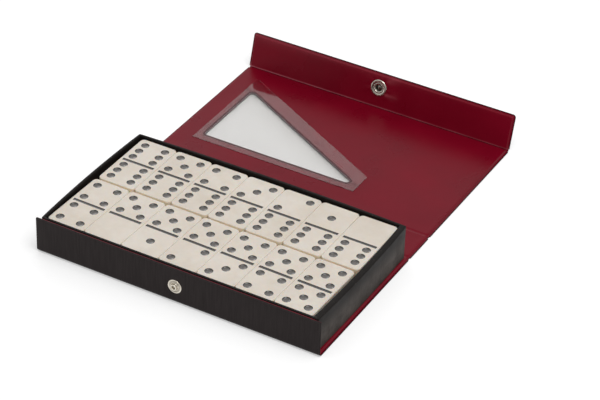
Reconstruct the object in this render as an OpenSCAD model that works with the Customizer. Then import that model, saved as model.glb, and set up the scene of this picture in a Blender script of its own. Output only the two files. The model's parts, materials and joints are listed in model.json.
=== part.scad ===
// Folding vinyl case for a double-six domino set, shown open: a covered card tray stands on the base
// panel, and the spine, the windowed lid and the closing flap fold over it on living hinges.
// +X runs along the front, +Y to the back, +Z up. The origin is under the middle of the tray, on the
// surface that the case rests on.

/* [Dominoes] */
// Length of a domino
tile_l = 50; // [48:0.2:56]
// Width of a domino
tile_w = 25.2; // [24:0.2:28]
// Thickness of a domino
tile_t = 9.8; // [7:0.1:13]
// Radius of a domino's corners in plan
tile_corner_r = 3; // [1:0.5:4]
// Gap between neighbours in a row
tile_gap = 0.2; // [0.1:0.05:0.5]
// Gap between the two rows
row_gap = 1.5; // [0.7:0.1:2]
// How far the dominoes of the front row lean to the right, in degrees
front_turn = 1.1; // [0:0.1:1.1]
// How far the front row lies off centre to the left
front_shift = 1.2; // [0:0.1:1.2]

/* [Pips] */
// Radius of a pip at the surface
pip_r = 2.6; // [1.6:0.1:2.8]
// Depth of a pip
pip_depth = 0.45; // [0.3:0.05:0.8]
// Distance of the outer pip columns from the middle of the tile
pip_column = 7.1; // [6:0.1:7.6]
// Distance of the outer pip rows from the middle of their half
pip_row = 7; // [6:0.1:7.2]
// Distance of the middle of each half from the dividing line
half_centre = 12.1; // [11.5:0.1:12.4]
// Length of the dividing line
divider_l = 22; // [14:0.5:23]
// Width of the dividing line
divider_w = 1.6; // [0.6:0.1:1.8]
// Depth of the dividing line
divider_depth = 0.4; // [0.2:0.1:0.8]

/* [Tray] */
// Room between the dominoes and each side wall
side_room = 1.9; // [1.9:0.1:4]
// Room between the dominoes and the front and back walls
end_room = 0.4; // [0.4:0.1:3]
// Height of the rim above the upper dominoes
rim_above_tiles = 1.2; // [0.5:0.1:6]
// Thickness of the wall card
wall_card_t = 1.2; // [0.8:0.1:3]
// Thickness of the floor card
floor_card_t = 1.9; // [1:0.1:3]
// Thickness of the black covering of the tray
covering_t = 0.3; // [0.2:0.05:0.6]
// Radius of the tray's outer corners
tray_corner_r = 1.2; // [0.5:0.1:1.8]

/* [Cover] */
// Overhang of the cover beyond each end of the tray
overhang = 2.8; // [1.5:0.1:8]
// Thickness of one vinyl sheet
skin_t = 0.3; // [0.2:0.05:0.5]
// Thickness of the stiffening board
board_t = 1; // [0.8:0.1:2]
// Width of the welded border round each board
border = 2; // [1.5:0.1:2.5]
// Outer radius of the fold under the front panel
front_fold_r = 2.5; // [2.2:0.1:4]
// Radius of the flap's free corners
flap_corner_r = 2; // [0.5:0.1:4]
// Radius of the front panel's top corners
front_corner_r = 0.8; // [0.4:0.1:3]
// How far the flap is folded up from flat, in degrees
flap_rest = 75; // [40:1:88]
// Height of the closed flap's edge above the surface
flap_foot = 1.4; // [0.2:0.1:3]

/* [Window] */
// Distance of the window from the left edge of the lid
window_from_edge = 18.3; // [12:0.1:30]
// Distance of the window from the fold between spine and lid
window_from_fold = 23.3; // [16:0.1:28]
// Length of the window along the lid
window_w = 111; // [60:0.5:120]
// Depth of the window
window_h = 61; // [35:0.5:64]
// Radius of the window's corners
window_r = 2.4; // [2:0.1:5]
// How far the black vinyl shows inside the red
window_ledge = 1.2; // [0.4:0.1:1.5]
// Thickness of the clear sheet
sheet_t = 0.25; // [0.15:0.05:0.4]
// Border of the clear sheet beside the window's square corner
sheet_side = 4.7; // [4:0.1:8]
// Border of the clear sheet towards the spine
sheet_foot = 6.1; // [4:0.1:10]
// Border of the clear sheet along the slanting side
sheet_slant = 10.8; // [6:0.1:13]
// How far the clear sheet runs past the point where the window's two long sides would meet
sheet_end = 0; // [0:0.5:12]

/* [Snap fastener] */
// Height of the snap above the surface when the case is closed
snap_z = 11.6; // [9:0.1:13]
// Radius of the snap's two flanges
snap_r = 4.8; // [4:0.1:6]
// Radius of the stud's head
stud_r = 2.1; // [1.6:0.1:2.4]
// Height of the socket's ring above the lining
ring_h = 0.6; // [0.4:0.1:1.2]
// Height of the domed cap on the outside of the flap
cap_h = 1.2; // [0.8:0.1:2]
// Radius of the domed cap
cap_r = 5.2; // [4.5:0.1:7]

/* [Clearances] */
// Gap behind the tray when the spine stands up
spine_room = 0.2; // [0.1:0.05:1]
// Gap over the rim when the lid is closed
lid_room = 0.2; // [0.1:0.05:1]
// Gap in the corner of a fold when it is closed
fold_room = 0.2; // [0.1:0.05:0.6]
// Gap between the two halves of the closed snap
snap_room = 0.1; // [0.05:0.05:0.4]
// Slit between a fold's bead and the panel that turns round it
bead_slit = 0.05; // [0.02:0.01:0.1]

/* [Hidden] */
$fn = 48;
e = 0.01;
columns = 7;
per_layer = 2 * columns;

// each domino as [far half, near half], left to right: upper back row, upper front row, then the lower two
TILES = [
    [6, 6], [5, 6], [4, 6], [3, 6], [2, 6], [1, 6], [0, 6],
    [4, 4], [5, 0], [5, 1], [5, 2], [5, 3], [5, 4], [5, 5],
    [0, 0], [0, 1], [0, 2], [0, 3], [0, 4], [1, 1], [1, 2],
    [1, 3], [1, 4], [2, 2], [2, 3], [2, 4], [3, 3], [3, 4]
];
function tile_name(t) = str("tile_", max(t), "_", min(t));

BLACK = [0.10, 0.09, 0.09];
RED = [0.42, 0.06, 0.12];
GREY_BOARD = [0.62, 0.58, 0.52];
IVORY = [0.91, 0.87, 0.80];
NICKEL = [0.75, 0.74, 0.71];
CLEAR = [0.85, 0.88, 0.90, 0.35];

// thicknesses
cover_t = board_t + 2 * skin_t;
web_t = 2 * skin_t;
wall_t = wall_card_t + 2 * covering_t;
// how far a raised board keeps from a fold's axis, so that two of them meet at a right angle
fold_half = cover_t - skin_t + fold_room;
web_half = fold_half - fold_room;
// heights
tray_z = cover_t;
tile_z = tray_z + floor_card_t;
rim_z = tile_z + 2 * tile_t + rim_above_tiles;
axis_z = skin_t;
// plan of the tray
inner_w = columns * tile_w + (columns - 1) * tile_gap + 2 * side_room;
inner_l = 2 * tile_l + row_gap + 2 * end_room;
tray_w = inner_w + 2 * wall_t;
tray_l = inner_l + 2 * wall_t;
cover_w = tray_w + 2 * overhang;
// snap fastener
stud_flange_proud = 0.2;
stud_flange_t = skin_t + 0.4;
barrel_r = 1.3;
washer_t = 0.4;
washer_r = 4;
seat_room = 0.1;
socket_floor = 0.3;
cavity_r = stud_r + 0.6;
mouth_r = stud_r + 0.25;
lip_t = 0.35;
spring_wire_r = 0.2;
spring_gap = 40;
flap_gap = ring_h + stud_flange_proud + snap_room;
stud_head_h = flap_gap + board_t + skin_t - socket_floor - 2 * snap_room;
// places of the folds along Y, each worked out from what it closes over
front_y = -tray_l / 2 - cover_t;
spine_y = tray_l / 2 + spine_room + cover_t - skin_t;
spine_pitch = rim_z + lid_room + cover_t - 2 * skin_t;
lid_y = spine_y + spine_pitch;
lid_pitch = spine_y - front_y + flap_gap + cover_t - skin_t;
flap_y = lid_y + lid_pitch;
flap_h = axis_z + spine_pitch - flap_foot;
snap_on_flap = axis_z + spine_pitch - snap_z;
front_top = rim_z;
// window, from its square corner on the lid
window_x = -cover_w / 2 + window_from_edge;
window_y = lid_y + window_from_fold;
slant = atan2(window_h, window_w);
board_setback = window_ledge + 0.8;
tip_cut = 2;

// --- flat shapes -------------------------------------------------------------------------------

// a plate from y0 to y1 across the cover, set in from its ends, with the far corners rounded
module plate(y0, y1, z0, z1, inset = 0, far_r = 0) {
    half = cover_w / 2 - inset;
    translate([0, 0, z0]) linear_extrude(z1 - z0)
        if (far_r > 0) {
            translate([-half, y0]) square([2 * half, y1 - far_r - y0]);
            translate([-half + far_r, y0]) square([2 * (half - far_r), y1 - y0]);
            for (side = [-1, 1]) translate([side * (half - far_r), y1 - far_r]) circle(r = far_r);
        } else
            translate([-half, y0]) square([2 * half, y1 - y0]);
}

// the raised middle of a lining, which wraps a board from y0 to y1
module wrap(y0, y1, z0 = skin_t) {
    plate(y0, y1, z0, cover_t, inset = border);
}

module board(y0, y1) {
    color(GREY_BOARD) plate(y0 + skin_t, y1 - skin_t, skin_t, cover_t - skin_t, inset = border + skin_t);
}

// lining of one panel: flat where it is welded, from p0 to p1, and raised over the board, from y0 to y1
module lining(p0, p1, y0, y1, far_r = 0) {
    color(RED) difference() {
        union() {
            plate(p0, p1, skin_t, web_t, far_r = far_r);
            wrap(y0, y1);
        }
        plate(y0 + skin_t, y1 - skin_t, skin_t - e, cover_t - skin_t, inset = border + skin_t);
    }
}

module skin(p0, p1, far_r = 0) {
    color(BLACK) plate(p0, p1, 0, skin_t, far_r = far_r);
}

// welded strip up to a fold's axis at y, with the round bead that the next panel turns about
module fold_web(y) {
    color(BLACK) {
        plate(y - web_half, y, 0, web_t);
        translate([-cover_w / 2, y, axis_z]) rotate([0, 90, 0]) cylinder(r = skin_t, h = cover_w);
    }
}

// first line of a panel that turns about the fold at y
function past_bead(y) = y + skin_t + bead_slit;

// stands a flat panel up along the front of the tray, its outer face to the front
module on_front() {
    translate([0, front_y, 0]) rotate([90, 0, 180]) children();
}

// folds a flat panel up at the flap's fold
module on_flap() {
    translate([0, flap_y, axis_z]) rotate([flap_rest, 0, 0]) translate([0, 0, -axis_z]) children();
}

// --- base and front panel ----------------------------------------------------------------------

base_y0 = front_y + front_fold_r;
base_raised_y0 = base_y0 + skin_t;

module base_skin() { skin(base_y0, spine_y - web_half); }

module base_board() { board(base_raised_y0, spine_y - fold_half); }

module base_lining() { lining(base_y0, spine_y - web_half, base_raised_y0, spine_y - fold_half); }

front_raised_z0 = front_fold_r + skin_t;
front_raised_z1 = front_top - border;

module front_skin() {
    on_front() difference() {
        skin(front_fold_r, front_top, far_r = front_corner_r);
        translate([0, snap_z, -e]) color(BLACK) cylinder(r = snap_r + seat_room, h = skin_t + 2 * e);
    }
}

module front_board() {
    on_front() difference() {
        board(front_raised_z0, front_raised_z1);
        translate([0, snap_z, 0]) color(GREY_BOARD) {
            cylinder(r = snap_r + seat_room, h = stud_flange_t);
            cylinder(r = barrel_r + seat_room, h = cover_t);
            translate([0, 0, cover_t - washer_t]) cylinder(r = washer_r + seat_room, h = washer_t);
        }
    }
}

module front_lining() {
    on_front() difference() {
        lining(front_fold_r, front_top, front_raised_z0, front_raised_z1, far_r = front_corner_r);
        translate([0, snap_z, cover_t - washer_t])
            color(RED) cylinder(r = washer_r + seat_room, h = washer_t + e);
    }
}

// the two vinyls bent round from the base to the front panel
module front_fold_web() {
    color(BLACK) translate([cover_w / 2, front_y + front_fold_r, front_fold_r]) rotate([90, 0, -90])
        linear_extrude(cover_w) intersection() {
            difference() {
                circle(r = front_fold_r);
                circle(r = front_fold_r - web_t);
            }
            translate([0, -front_fold_r - e]) square(front_fold_r + e);
        }
}

// --- tray --------------------------------------------------------------------------------------

module box(w, l, z0, z1) {
    translate([-w / 2, -l / 2, z0]) cube([w, l, z1 - z0]);
}

card_w = tray_w - 2 * covering_t;
card_l = tray_l - 2 * covering_t;

module tray_floor_card() { color(GREY_BOARD) box(card_w, card_l, tray_z, tile_z); }

// a length of wall card standing on the floor card
module wall_card(w, l, x, y) {
    color(GREY_BOARD) translate([x, y, 0]) box(w, l, tile_z, rim_z - covering_t);
}

long_wall_y = (card_l - wall_card_t) / 2;
short_wall_x = (card_w - wall_card_t) / 2;

module tray_wall_front() { wall_card(card_w, wall_card_t, 0, -long_wall_y); }

module tray_wall_back() { wall_card(card_w, wall_card_t, 0, long_wall_y); }

module tray_wall_left() { wall_card(wall_card_t, card_l - 2 * wall_card_t, -short_wall_x, 0); }

module tray_wall_right() { wall_card(wall_card_t, card_l - 2 * wall_card_t, short_wall_x, 0); }

// black covering, turned over the rim and down the inside
module tray_covering() {
    color(BLACK) difference() {
        translate([0, 0, tray_z]) linear_extrude(rim_z - tray_z) {
            square([tray_w - 2 * tray_corner_r, tray_l], center = true);
            square([tray_w, tray_l - 2 * tray_corner_r], center = true);
            for (x = [-1, 1], y = [-1, 1])
                translate([x * (tray_w / 2 - tray_corner_r), y * (tray_l / 2 - tray_corner_r)])
                    circle(r = tray_corner_r);
        }
        box(inner_w, inner_l, tile_z - e, rim_z + e);
        box(card_w, card_l, tray_z - e, tile_z);
        difference() {
            box(card_w, card_l, tray_z - e, rim_z - covering_t);
            box(inner_w + 2 * covering_t, inner_l + 2 * covering_t, tray_z - 2 * e, rim_z);
        }
    }
}

// --- snap fastener -----------------------------------------------------------------------------

// stud on the front panel: a flange let into the vinyl, a hollow head and a barrel through the board
module snap_stud() {
    color(NICKEL) on_front() translate([0, snap_z, 0]) difference() {
        union() {
            translate([0, 0, -stud_flange_proud]) cylinder(r = snap_r, h = stud_flange_t + stud_flange_proud);
            translate([0, 0, -stud_head_h]) cylinder(r = stud_r, h = stud_head_h);
            cylinder(r = barrel_r, h = cover_t);
        }
        translate([0, 0, -stud_head_h - e]) cylinder(r = stud_r / 2, h = stud_head_h);
    }
}

// washer that the barrel is riveted over, let into the inside of the front panel
module stud_washer() {
    color(NICKEL) on_front() translate([0, snap_z, cover_t - washer_t]) difference() {
        cylinder(r = washer_r, h = washer_t);
        translate([0, 0, -e]) cylinder(r = barrel_r, h = washer_t + 2 * e);
    }
}

// socket on the inside of the flap, with a cavity that the stud's head snaps into
module snap_socket() {
    top = cover_t + ring_h;
    color(NICKEL) on_flap() translate([0, snap_on_flap, 0]) difference() {
        translate([0, 0, skin_t]) cylinder(r = snap_r, h = top - skin_t);
        translate([0, 0, skin_t + socket_floor])
            cylinder(r = cavity_r, h = top - lip_t - skin_t - socket_floor);
        translate([0, 0, skin_t + socket_floor]) cylinder(r = mouth_r, h = top);
    }
}

// split ring in the socket's cavity that grips the stud's head
module socket_spring() {
    ring_r = cavity_r - spring_wire_r;
    color(NICKEL) on_flap() translate([0, snap_on_flap, cover_t + ring_h - lip_t - spring_wire_r])
        rotate_extrude(angle = 360 - spring_gap) translate([ring_r, 0]) circle(r = spring_wire_r);
}

// domed cap on the outside of the flap, with a barrel through the vinyl to the socket
module snap_cap() {
    dome_r = (cap_r * cap_r + cap_h * cap_h) / (2 * cap_h);
    color(NICKEL) on_flap() translate([0, snap_on_flap, 0]) {
        intersection() {
            translate([0, 0, dome_r - cap_h]) sphere(r = dome_r, $fn = 180);
            translate([0, 0, -2 * cap_h]) cylinder(r = 2 * cap_r, h = 2 * cap_h);
        }
        cylinder(r = barrel_r, h = skin_t);
    }
}

// --- spine, lid and flap -----------------------------------------------------------------------

module spine_fold_web() { fold_web(spine_y); }

module spine_skin() { skin(past_bead(spine_y), lid_y - web_half); }

module spine_board() { board(spine_y + fold_half, lid_y - fold_half); }

module spine_lining() {
    lining(past_bead(spine_y), lid_y - web_half, spine_y + fold_half, lid_y - fold_half);
}

module lid_fold_web() { fold_web(lid_y); }

// point on a right triangle's rounded corner, for the corner whose arc is centred at c
function arc(c, r, from, to, steps = 8) =
    [for (i = [0:steps]) c + r * [cos(from + (to - from) * i / steps), sin(from + (to - from) * i / steps)]];

// the window's outline grown by g: a right triangle with its square corner at the front left
function window_outline(g) =
    let (
        r = window_r,
        sharp = r / tan(slant / 2),
        top = r / tan((90 - slant) / 2),
        reach = r + g
    )
    concat(
        arc([r, r], reach, 180, 270),
        arc([window_w - sharp, r], reach, -90, 90 - slant),
        arc([r, window_h - top], reach, 90 - slant, 180)
    );

module window_hole(g, z0, z1) {
    translate([window_x, window_y, z0]) linear_extrude(z1 - z0) polygon(window_outline(g));
}

module lid_skin() {
    color(BLACK) difference() {
        skin(past_bead(lid_y), flap_y - web_half);
        window_hole(0, -e, skin_t + e);
    }
}

module lid_board() {
    color(GREY_BOARD) difference() {
        board(lid_y + fold_half, flap_y - fold_half);
        window_hole(board_setback, 0, cover_t);
    }
}

module lid_lining() {
    color(RED) difference() {
        union() {
            lining(past_bead(lid_y), flap_y - web_half, lid_y + fold_half, flap_y - fold_half);
            window_hole(board_setback, skin_t, cover_t);
        }
        window_hole(window_ledge, skin_t - e, cover_t + e);
    }
}

// clear sheet welded over the window, its sharp end cut off square
module window_sheet() {
    rise = sheet_slant / cos(slant);
    x1 = window_w + sheet_end;
    function slant_y(x) = window_h + rise - x * tan(slant);
    color(CLEAR) translate([window_x, window_y, cover_t]) linear_extrude(sheet_t) polygon([
        [-sheet_side, -sheet_foot],
        [x1, -sheet_foot],
        [x1, slant_y(x1)],
        [-sheet_side + tip_cut, slant_y(-sheet_side + tip_cut)],
        [-sheet_side, slant_y(-sheet_side) - tip_cut]
    ]);
}

module flap_fold_web() { fold_web(flap_y); }

flap_p0 = skin_t + bead_slit;

module flap_skin() {
    on_flap() difference() {
        skin(flap_p0, flap_h, far_r = flap_corner_r);
        translate([0, snap_on_flap, -e]) color(BLACK) cylinder(r = barrel_r + seat_room, h = skin_t + 2 * e);
    }
}

module flap_board() {
    on_flap() difference() {
        board(fold_half, flap_h - border);
        translate([0, snap_on_flap, 0]) color(GREY_BOARD) cylinder(r = snap_r + seat_room, h = cover_t);
    }
}

module flap_lining() {
    on_flap() difference() {
        lining(flap_p0, flap_h, fold_half, flap_h - border, far_r = flap_corner_r);
        translate([0, snap_on_flap, 0])
            color(RED) cylinder(r = snap_r + seat_room, h = cover_t + e);
    }
}

// --- dominoes ----------------------------------------------------------------------------------

// pips of one half as steps of the pip column and row, two and three running to the far right
function pips(v) = concat(
    v % 2 == 1 ? [[0, 0]] : [],
    v >= 2 ? [[1, 1], [-1, -1]] : [],
    v >= 4 ? [[-1, 1], [1, -1]] : [],
    v == 6 ? [[-1, 0], [1, 0]] : []
);

module domino(far, near) {
    pip_ball = (pip_r * pip_r + pip_depth * pip_depth) / (2 * pip_depth);
    straight = [tile_w, tile_l] - 2 * tile_corner_r * [1, 1];
    color(IVORY) difference() {
        linear_extrude(tile_t) {
            square([tile_w, straight[1]], center = true);
            square([straight[0], tile_l], center = true);
            for (x = [-1, 1], y = [-1, 1])
                translate([x * straight[0] / 2, y * straight[1] / 2]) circle(r = tile_corner_r);
        }
        for (half = [[far, 1], [near, -1]], p = pips(half[0]))
            translate([p[0] * pip_column, half[1] * half_centre + p[1] * pip_row,
                       tile_t - pip_depth + pip_ball])
                sphere(r = pip_ball);
        translate([-divider_l / 2, -divider_w / 2, tile_t - divider_depth])
            cube([divider_l, divider_w, divider_depth + e]);
    }
}

// puts domino number i in its place: the first layer listed lies on the second
module place(i) {
    upper = i < per_layer ? 1 : 0;
    front = i % per_layer >= columns;
    column = i % columns - (columns - 1) / 2;
    translate([
        column * (tile_w + tile_gap) - (front ? front_shift : 0),
        (front ? -1 : 1) * (tile_l + row_gap) / 2,
        tile_z + upper * tile_t
    ]) rotate(front ? -front_turn : 0) children();
}

base_skin();
base_board();
base_lining();
front_skin();
front_board();
front_lining();
front_fold_web();
tray_floor_card();
tray_wall_front();
tray_wall_back();
tray_wall_left();
tray_wall_right();
tray_covering();
snap_stud();
stud_washer();
spine_fold_web();
spine_skin();
spine_board();
spine_lining();
lid_fold_web();
lid_skin();
lid_board();
lid_lining();
window_sheet();
flap_fold_web();
flap_skin();
flap_board();
flap_lining();
snap_socket();
socket_spring();
snap_cap();
for (i = [0:len(TILES) - 1])
    place(i) domino(TILES[i][0], TILES[i][1]);
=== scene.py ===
"""A folding vinyl case with a full set of dominoes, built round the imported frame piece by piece."""

import json
import math

import bpy
from mathutils import Matrix, Vector
from mathutils.geometry import delaunay_2d_cdt
from mathutils.kdtree import KDTree


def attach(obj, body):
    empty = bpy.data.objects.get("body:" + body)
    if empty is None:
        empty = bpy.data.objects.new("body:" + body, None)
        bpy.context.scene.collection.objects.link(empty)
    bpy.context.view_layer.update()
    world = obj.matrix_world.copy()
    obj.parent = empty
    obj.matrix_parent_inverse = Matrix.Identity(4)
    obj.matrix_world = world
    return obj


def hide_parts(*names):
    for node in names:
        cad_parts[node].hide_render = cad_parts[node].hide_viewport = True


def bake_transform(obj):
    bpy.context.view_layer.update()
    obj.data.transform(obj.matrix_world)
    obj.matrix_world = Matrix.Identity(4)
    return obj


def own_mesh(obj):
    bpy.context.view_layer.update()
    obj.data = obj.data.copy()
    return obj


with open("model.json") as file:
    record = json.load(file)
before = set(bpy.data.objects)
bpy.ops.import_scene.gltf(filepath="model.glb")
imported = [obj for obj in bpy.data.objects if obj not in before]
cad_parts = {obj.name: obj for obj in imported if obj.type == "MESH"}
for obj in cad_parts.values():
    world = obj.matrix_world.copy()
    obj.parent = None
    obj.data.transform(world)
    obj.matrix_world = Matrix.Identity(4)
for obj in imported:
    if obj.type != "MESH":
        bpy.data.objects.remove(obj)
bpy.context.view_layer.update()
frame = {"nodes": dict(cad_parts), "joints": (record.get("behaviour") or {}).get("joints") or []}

# --- Camera -----------------------------------------------------------------------------------------
# A long lens, above the case and to the right of its front edge. The case's sizes are in
# millimetres, and MM turns them into metres. The table's and the lights' are in metres.
MM = 0.001
turn, height, roll = (math.radians(a) for a in (28.27, 34.61, 2.24))
back = Vector((math.sin(turn) * math.cos(height), -math.cos(turn) * math.cos(height), math.sin(height)))
right = Vector((math.cos(turn), math.sin(turn), 0))
up = back.cross(right)
right, up = (
    math.cos(roll) * right + math.sin(roll) * up,
    math.cos(roll) * up - math.sin(roll) * right,
)
camera = bpy.data.objects.new("camera", bpy.data.cameras.new("camera"))
camera.data.lens, camera.data.sensor_width = 142.06, 36
camera.data.clip_start, camera.data.clip_end = 0.01, 20
stand = (Vector((25.07, 45.64, 22.2)) + 1406.4 * back) * MM
camera.matrix_world = Matrix.Translation(stand) @ Matrix((right, up, back)).transposed().to_4x4()
bpy.context.scene.collection.objects.link(camera)
bpy.context.scene.camera = camera

# --- Black vinyl of the base and the front panel ------------------------------------------------------
# One sheet of embossed PVC, 0.3 mm thick, that lies under the base and is bent up round its front
# edge. A hot tool welds it to the red vinyl and presses a line into both, beside every free edge.
SHEET = 0.3
HALF_WIDTH = 95.3
FRONT_Y, RIM_Z = -54.55, 24.3
BEND_R = 2.5
BEND_Y = FRONT_Y + BEND_R
BEND_END = BEND_Y - (BEND_R - SHEET) * math.pi / 2
FRONT_TOP = BEND_END - (RIM_Z - BEND_R)
COVER_R, BOARD_R = 0.8, 1.2  # corner radius of the cover and of the red vinyl over a board
STRIP = 1.25  # half the width of the loose strip along each fold
BORDER = 2.0  # welded border round each board
FOLD_HALF = 1.5  # from a fold to the boards beside it
FLAP_HEIGHT = 24.4
SNAP_R = 4.55
STUD_HEIGHT = 11.6
STUD_S = FRONT_TOP + RIM_Z - STUD_HEIGHT
WELD = 1.0  # from a free edge to the middle of the pressed line
folds = {j["name"]: j["pos_m"][1] / MM for j in frame["joints"] if j["type"] == "hinge"}
SPINE_FOLD, LID_FOLD, FLAP_FOLD = folds["spine_fold"], folds["lid_fold"], folds["flap_fold"]
FOLD_Z = SHEET
SPACING = 3.0  # between the points of a sheet's mesh


def ease(t):
    """0 up to 0, 1 from 1 on, and smooth between."""
    t = min(max(t, 0.0), 1.0)
    return t * t * (3 - 2 * t)


def bump(t):
    """1 at 0, and soon nothing on both sides."""
    return math.exp(-t * t)


def depth_in(x, s, rect, r=0.0):
    """How far a point lies inside a rectangle (x0, x1, s0, s1) with rounded corners."""
    x0, x1, s0, s1 = rect
    qx = abs(x - (x0 + x1) / 2) - (x1 - x0) / 2 + r
    qs = abs(s - (s0 + s1) / 2) - (s1 - s0) / 2 + r
    return r - math.hypot(max(qx, 0), max(qs, 0)) - min(max(qx, qs), 0)


def stations(a, b, step):
    """Every multiple of step strictly between a and b."""
    return [k * step for k in range(math.floor(a / step) + 1, math.ceil(b / step)) if a < k * step < b]


def arc(x, s, r, start, angles):
    """Points on a circle round (x, s), at angles in degrees that count from start."""
    turns = [math.radians(start + a) for a in angles]
    return [(x + r * math.cos(t), s + r * math.sin(t)) for t in turns]


def between(a, b, parts):
    """The points that cut the way from a to b into equal parts, without its ends."""
    return [(a[0] + (b[0] - a[0]) * k / parts, a[1] + (b[1] - a[1]) * k / parts) for k in range(1, parts)]


def spaced(a, b):
    """The stations between two numbers, clear of both, in the order from a to b."""
    found = stations(min(a, b) + 0.3, max(a, b) - 0.3, SPACING)
    return found if b > a else found[::-1]


def round_rect(rect, r=0.0, corners=(1, 1, 1, 1)):
    """Closed line round a rectangle, from its lower left corner, with points along its sides."""
    x0, x1, s0, s1 = rect
    line = []
    for (cx, cs, start), rounded in zip(
        ((x0, s0, 180), (x1, s0, 270), (x1, s1, 0), (x0, s1, 90)), corners
    ):
        if r > 0.05 and rounded:
            middle = (cx + (r if cx == x0 else -r), cs + (r if cs == s0 else -r))
            line += arc(*middle, r, start, range(0, 91, 15))
        else:
            line.append((cx, cs))
    whole = []
    for a, b in zip(line, line[1:] + line[:1]):
        whole.append(a)
        if abs(b[0] - a[0]) > SPACING and abs(b[1] - a[1]) < 1e-6:
            whole += [(x, a[1]) for x in spaced(a[0], b[0])]
        elif abs(b[1] - a[1]) > SPACING and abs(b[0] - a[0]) < 1e-6:
            whole += [(a[0], s) for s in spaced(a[1], b[1])]
    return whole


def ring(x, s, r, points=48):
    """A whole circle round (x, s)."""
    return [
        (x + r * math.cos(2 * math.pi * i / points), s + r * math.sin(2 * math.pi * i / points))
        for i in range(points)
    ]


def finish_mesh(name, mesh, materials, smooth_below=40):
    """Makes a finished piece of a mesh in millimetres, at the origin, with its sharp edges kept sharp."""
    mesh.transform(Matrix.Scale(MM, 4))
    for material in materials:
        mesh.materials.append(material)
    mesh.polygons.foreach_set("use_smooth", [True] * len(mesh.polygons))
    mesh.set_sharp_from_angle(angle=math.radians(smooth_below))
    piece = bpy.data.objects.new(name, mesh)
    bpy.context.scene.collection.objects.link(piece)
    return piece


def cut_sheet(name, material, rim, lines, under, over, place, gap=None, within=None, marks=None):
    """A closed sheet: rim is its outline, lines are where its height bends, and under and over give
    its two faces. place carries (x, along the case, height in the sheet) into space. gap is true in
    a hole, within is true where points may lie, and marks are values that the material reads."""
    spots, known, edges = [], {}, set()

    def spot(x, s):
        key = (round(x, 2), round(s, 2))
        if key not in known:
            known[key] = len(spots)
            spots.append(Vector((x, s)))
        return known[key]

    near = []
    for line in [rim] + lines:
        ids = [spot(*p) for p in line]
        for a, b in zip(ids, ids[1:] + ids[:1]):
            if a != b:
                edges.add((min(a, b), max(a, b)))
                parts = max(1, int((spots[b] - spots[a]).length / 0.8))
                near += [spots[a].lerp(spots[b], k / parts) for k in range(parts)]
    tree = KDTree(len(near))
    for i, p in enumerate(near):
        tree.insert((p.x, p.y, 0), i)
    tree.balance()
    xs, ss = [p[0] for p in rim], [p[1] for p in rim]
    for x in stations(min(xs), max(xs), SPACING):
        for s in stations(min(ss), max(ss), SPACING):
            if tree.find((x, s, 0))[2] > 0.45 * SPACING and not (within and not within(x, s)):
                spot(x, s)
    flat, _, faces, *_ = delaunay_2d_cdt(spots, sorted(edges), [], 0, 0.004)
    flat = [(p.x, p.y) for p in flat]
    kept = []
    for f in faces:
        a, b, c = (flat[i] for i in f)
        area = (b[0] - a[0]) * (c[1] - a[1]) - (b[1] - a[1]) * (c[0] - a[0])
        middle = ((a[0] + b[0] + c[0]) / 3, (a[1] + b[1] + c[1]) / 3)
        if abs(area) > 1e-6 and not (gap and gap(*middle)):
            kept.append(tuple(f) if area > 0 else tuple(reversed(f)))
    used = sorted({i for f in kept for i in f})
    row = {i: k for k, i in enumerate(used)}
    flat = [flat[i] for i in used]
    kept = [tuple(row[i] for i in f) for f in kept]
    n = len(flat)
    half_edges = {(f[k], f[(k + 1) % 3]) for f in kept for k in range(3)}
    walls = [(a + n, b + n, b, a) for a, b in half_edges if (b, a) not in half_edges]
    points = [place(x, s, over(x, s)) for x, s in flat] + [place(x, s, under(x, s)) for x, s in flat]
    mesh = bpy.data.meshes.new(name)
    mesh.from_pydata(points, [], kept + [tuple(i + n for i in reversed(f)) for f in kept] + walls)
    for title, value in (marks or {}).items():
        if value:
            given = [value(x, s) for x, s in flat] * 2
            mesh.attributes.new(title, "FLOAT", "POINT").data.foreach_set("value", given)
    mesh.validate()
    return finish_mesh(name, mesh, [material])


def node(tree, kind, values=None, **settings):
    """Adds a node to a tree. values go on its inputs by name or number, and may be other nodes' outputs."""
    made = tree.nodes.new(kind)
    for key, value in settings.items():
        setattr(made, key, value)
    for key, value in (values or {}).items():
        if isinstance(value, bpy.types.NodeSocket):
            tree.links.new(value, made.inputs[key])
        else:
            made.inputs[key].default_value = value
    return made


def math_node(tree, operation, a, b=0.0):
    return node(tree, "ShaderNodeMath", {0: a, 1: b}, operation=operation).outputs[0]


def blend_colour(tree, share, a, b):
    return node(tree, "ShaderNodeMix", {0: share, 6: a, 7: b}, data_type="RGBA").outputs[2]


def ramp(tree, value, low, dark, high, light):
    """The dark colour where value is low, running to the light one where it is high."""
    made = node(tree, "ShaderNodeValToRGB", {0: value})
    first, last = made.color_ramp.elements
    first.position, first.color = low, (*dark, 1)
    last.position, last.color = high, (*light, 1)
    return made.outputs[0]


def new_material(name, **values):
    """A material with its Principled shader, its tree and the piece's own coordinates."""
    material = bpy.data.materials.new(name)
    material.use_nodes = True
    tree = material.node_tree
    shader = tree.nodes["Principled BSDF"]
    for key, value in values.items():
        shader.inputs[key.replace("_", " ")].default_value = value
    return material, tree, shader, node(tree, "ShaderNodeTexCoord").outputs["Object"]


def stretched(tree, coordinates, scale):
    return node(tree, "ShaderNodeMapping", {"Vector": coordinates, "Scale": scale}).outputs[0]


def noise(tree, coordinates, scale, detail=3.0, roughness=0.5, distortion=0.0):
    values = {"Vector": coordinates, "Scale": scale, "Detail": detail, "Roughness": roughness}
    return node(tree, "ShaderNodeTexNoise", {**values, "Distortion": distortion}).outputs[0]


def cells(tree, coordinates, scale):
    values = {"Vector": coordinates, "Scale": scale}
    return node(tree, "ShaderNodeTexVoronoi", values).outputs["Distance"]


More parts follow.
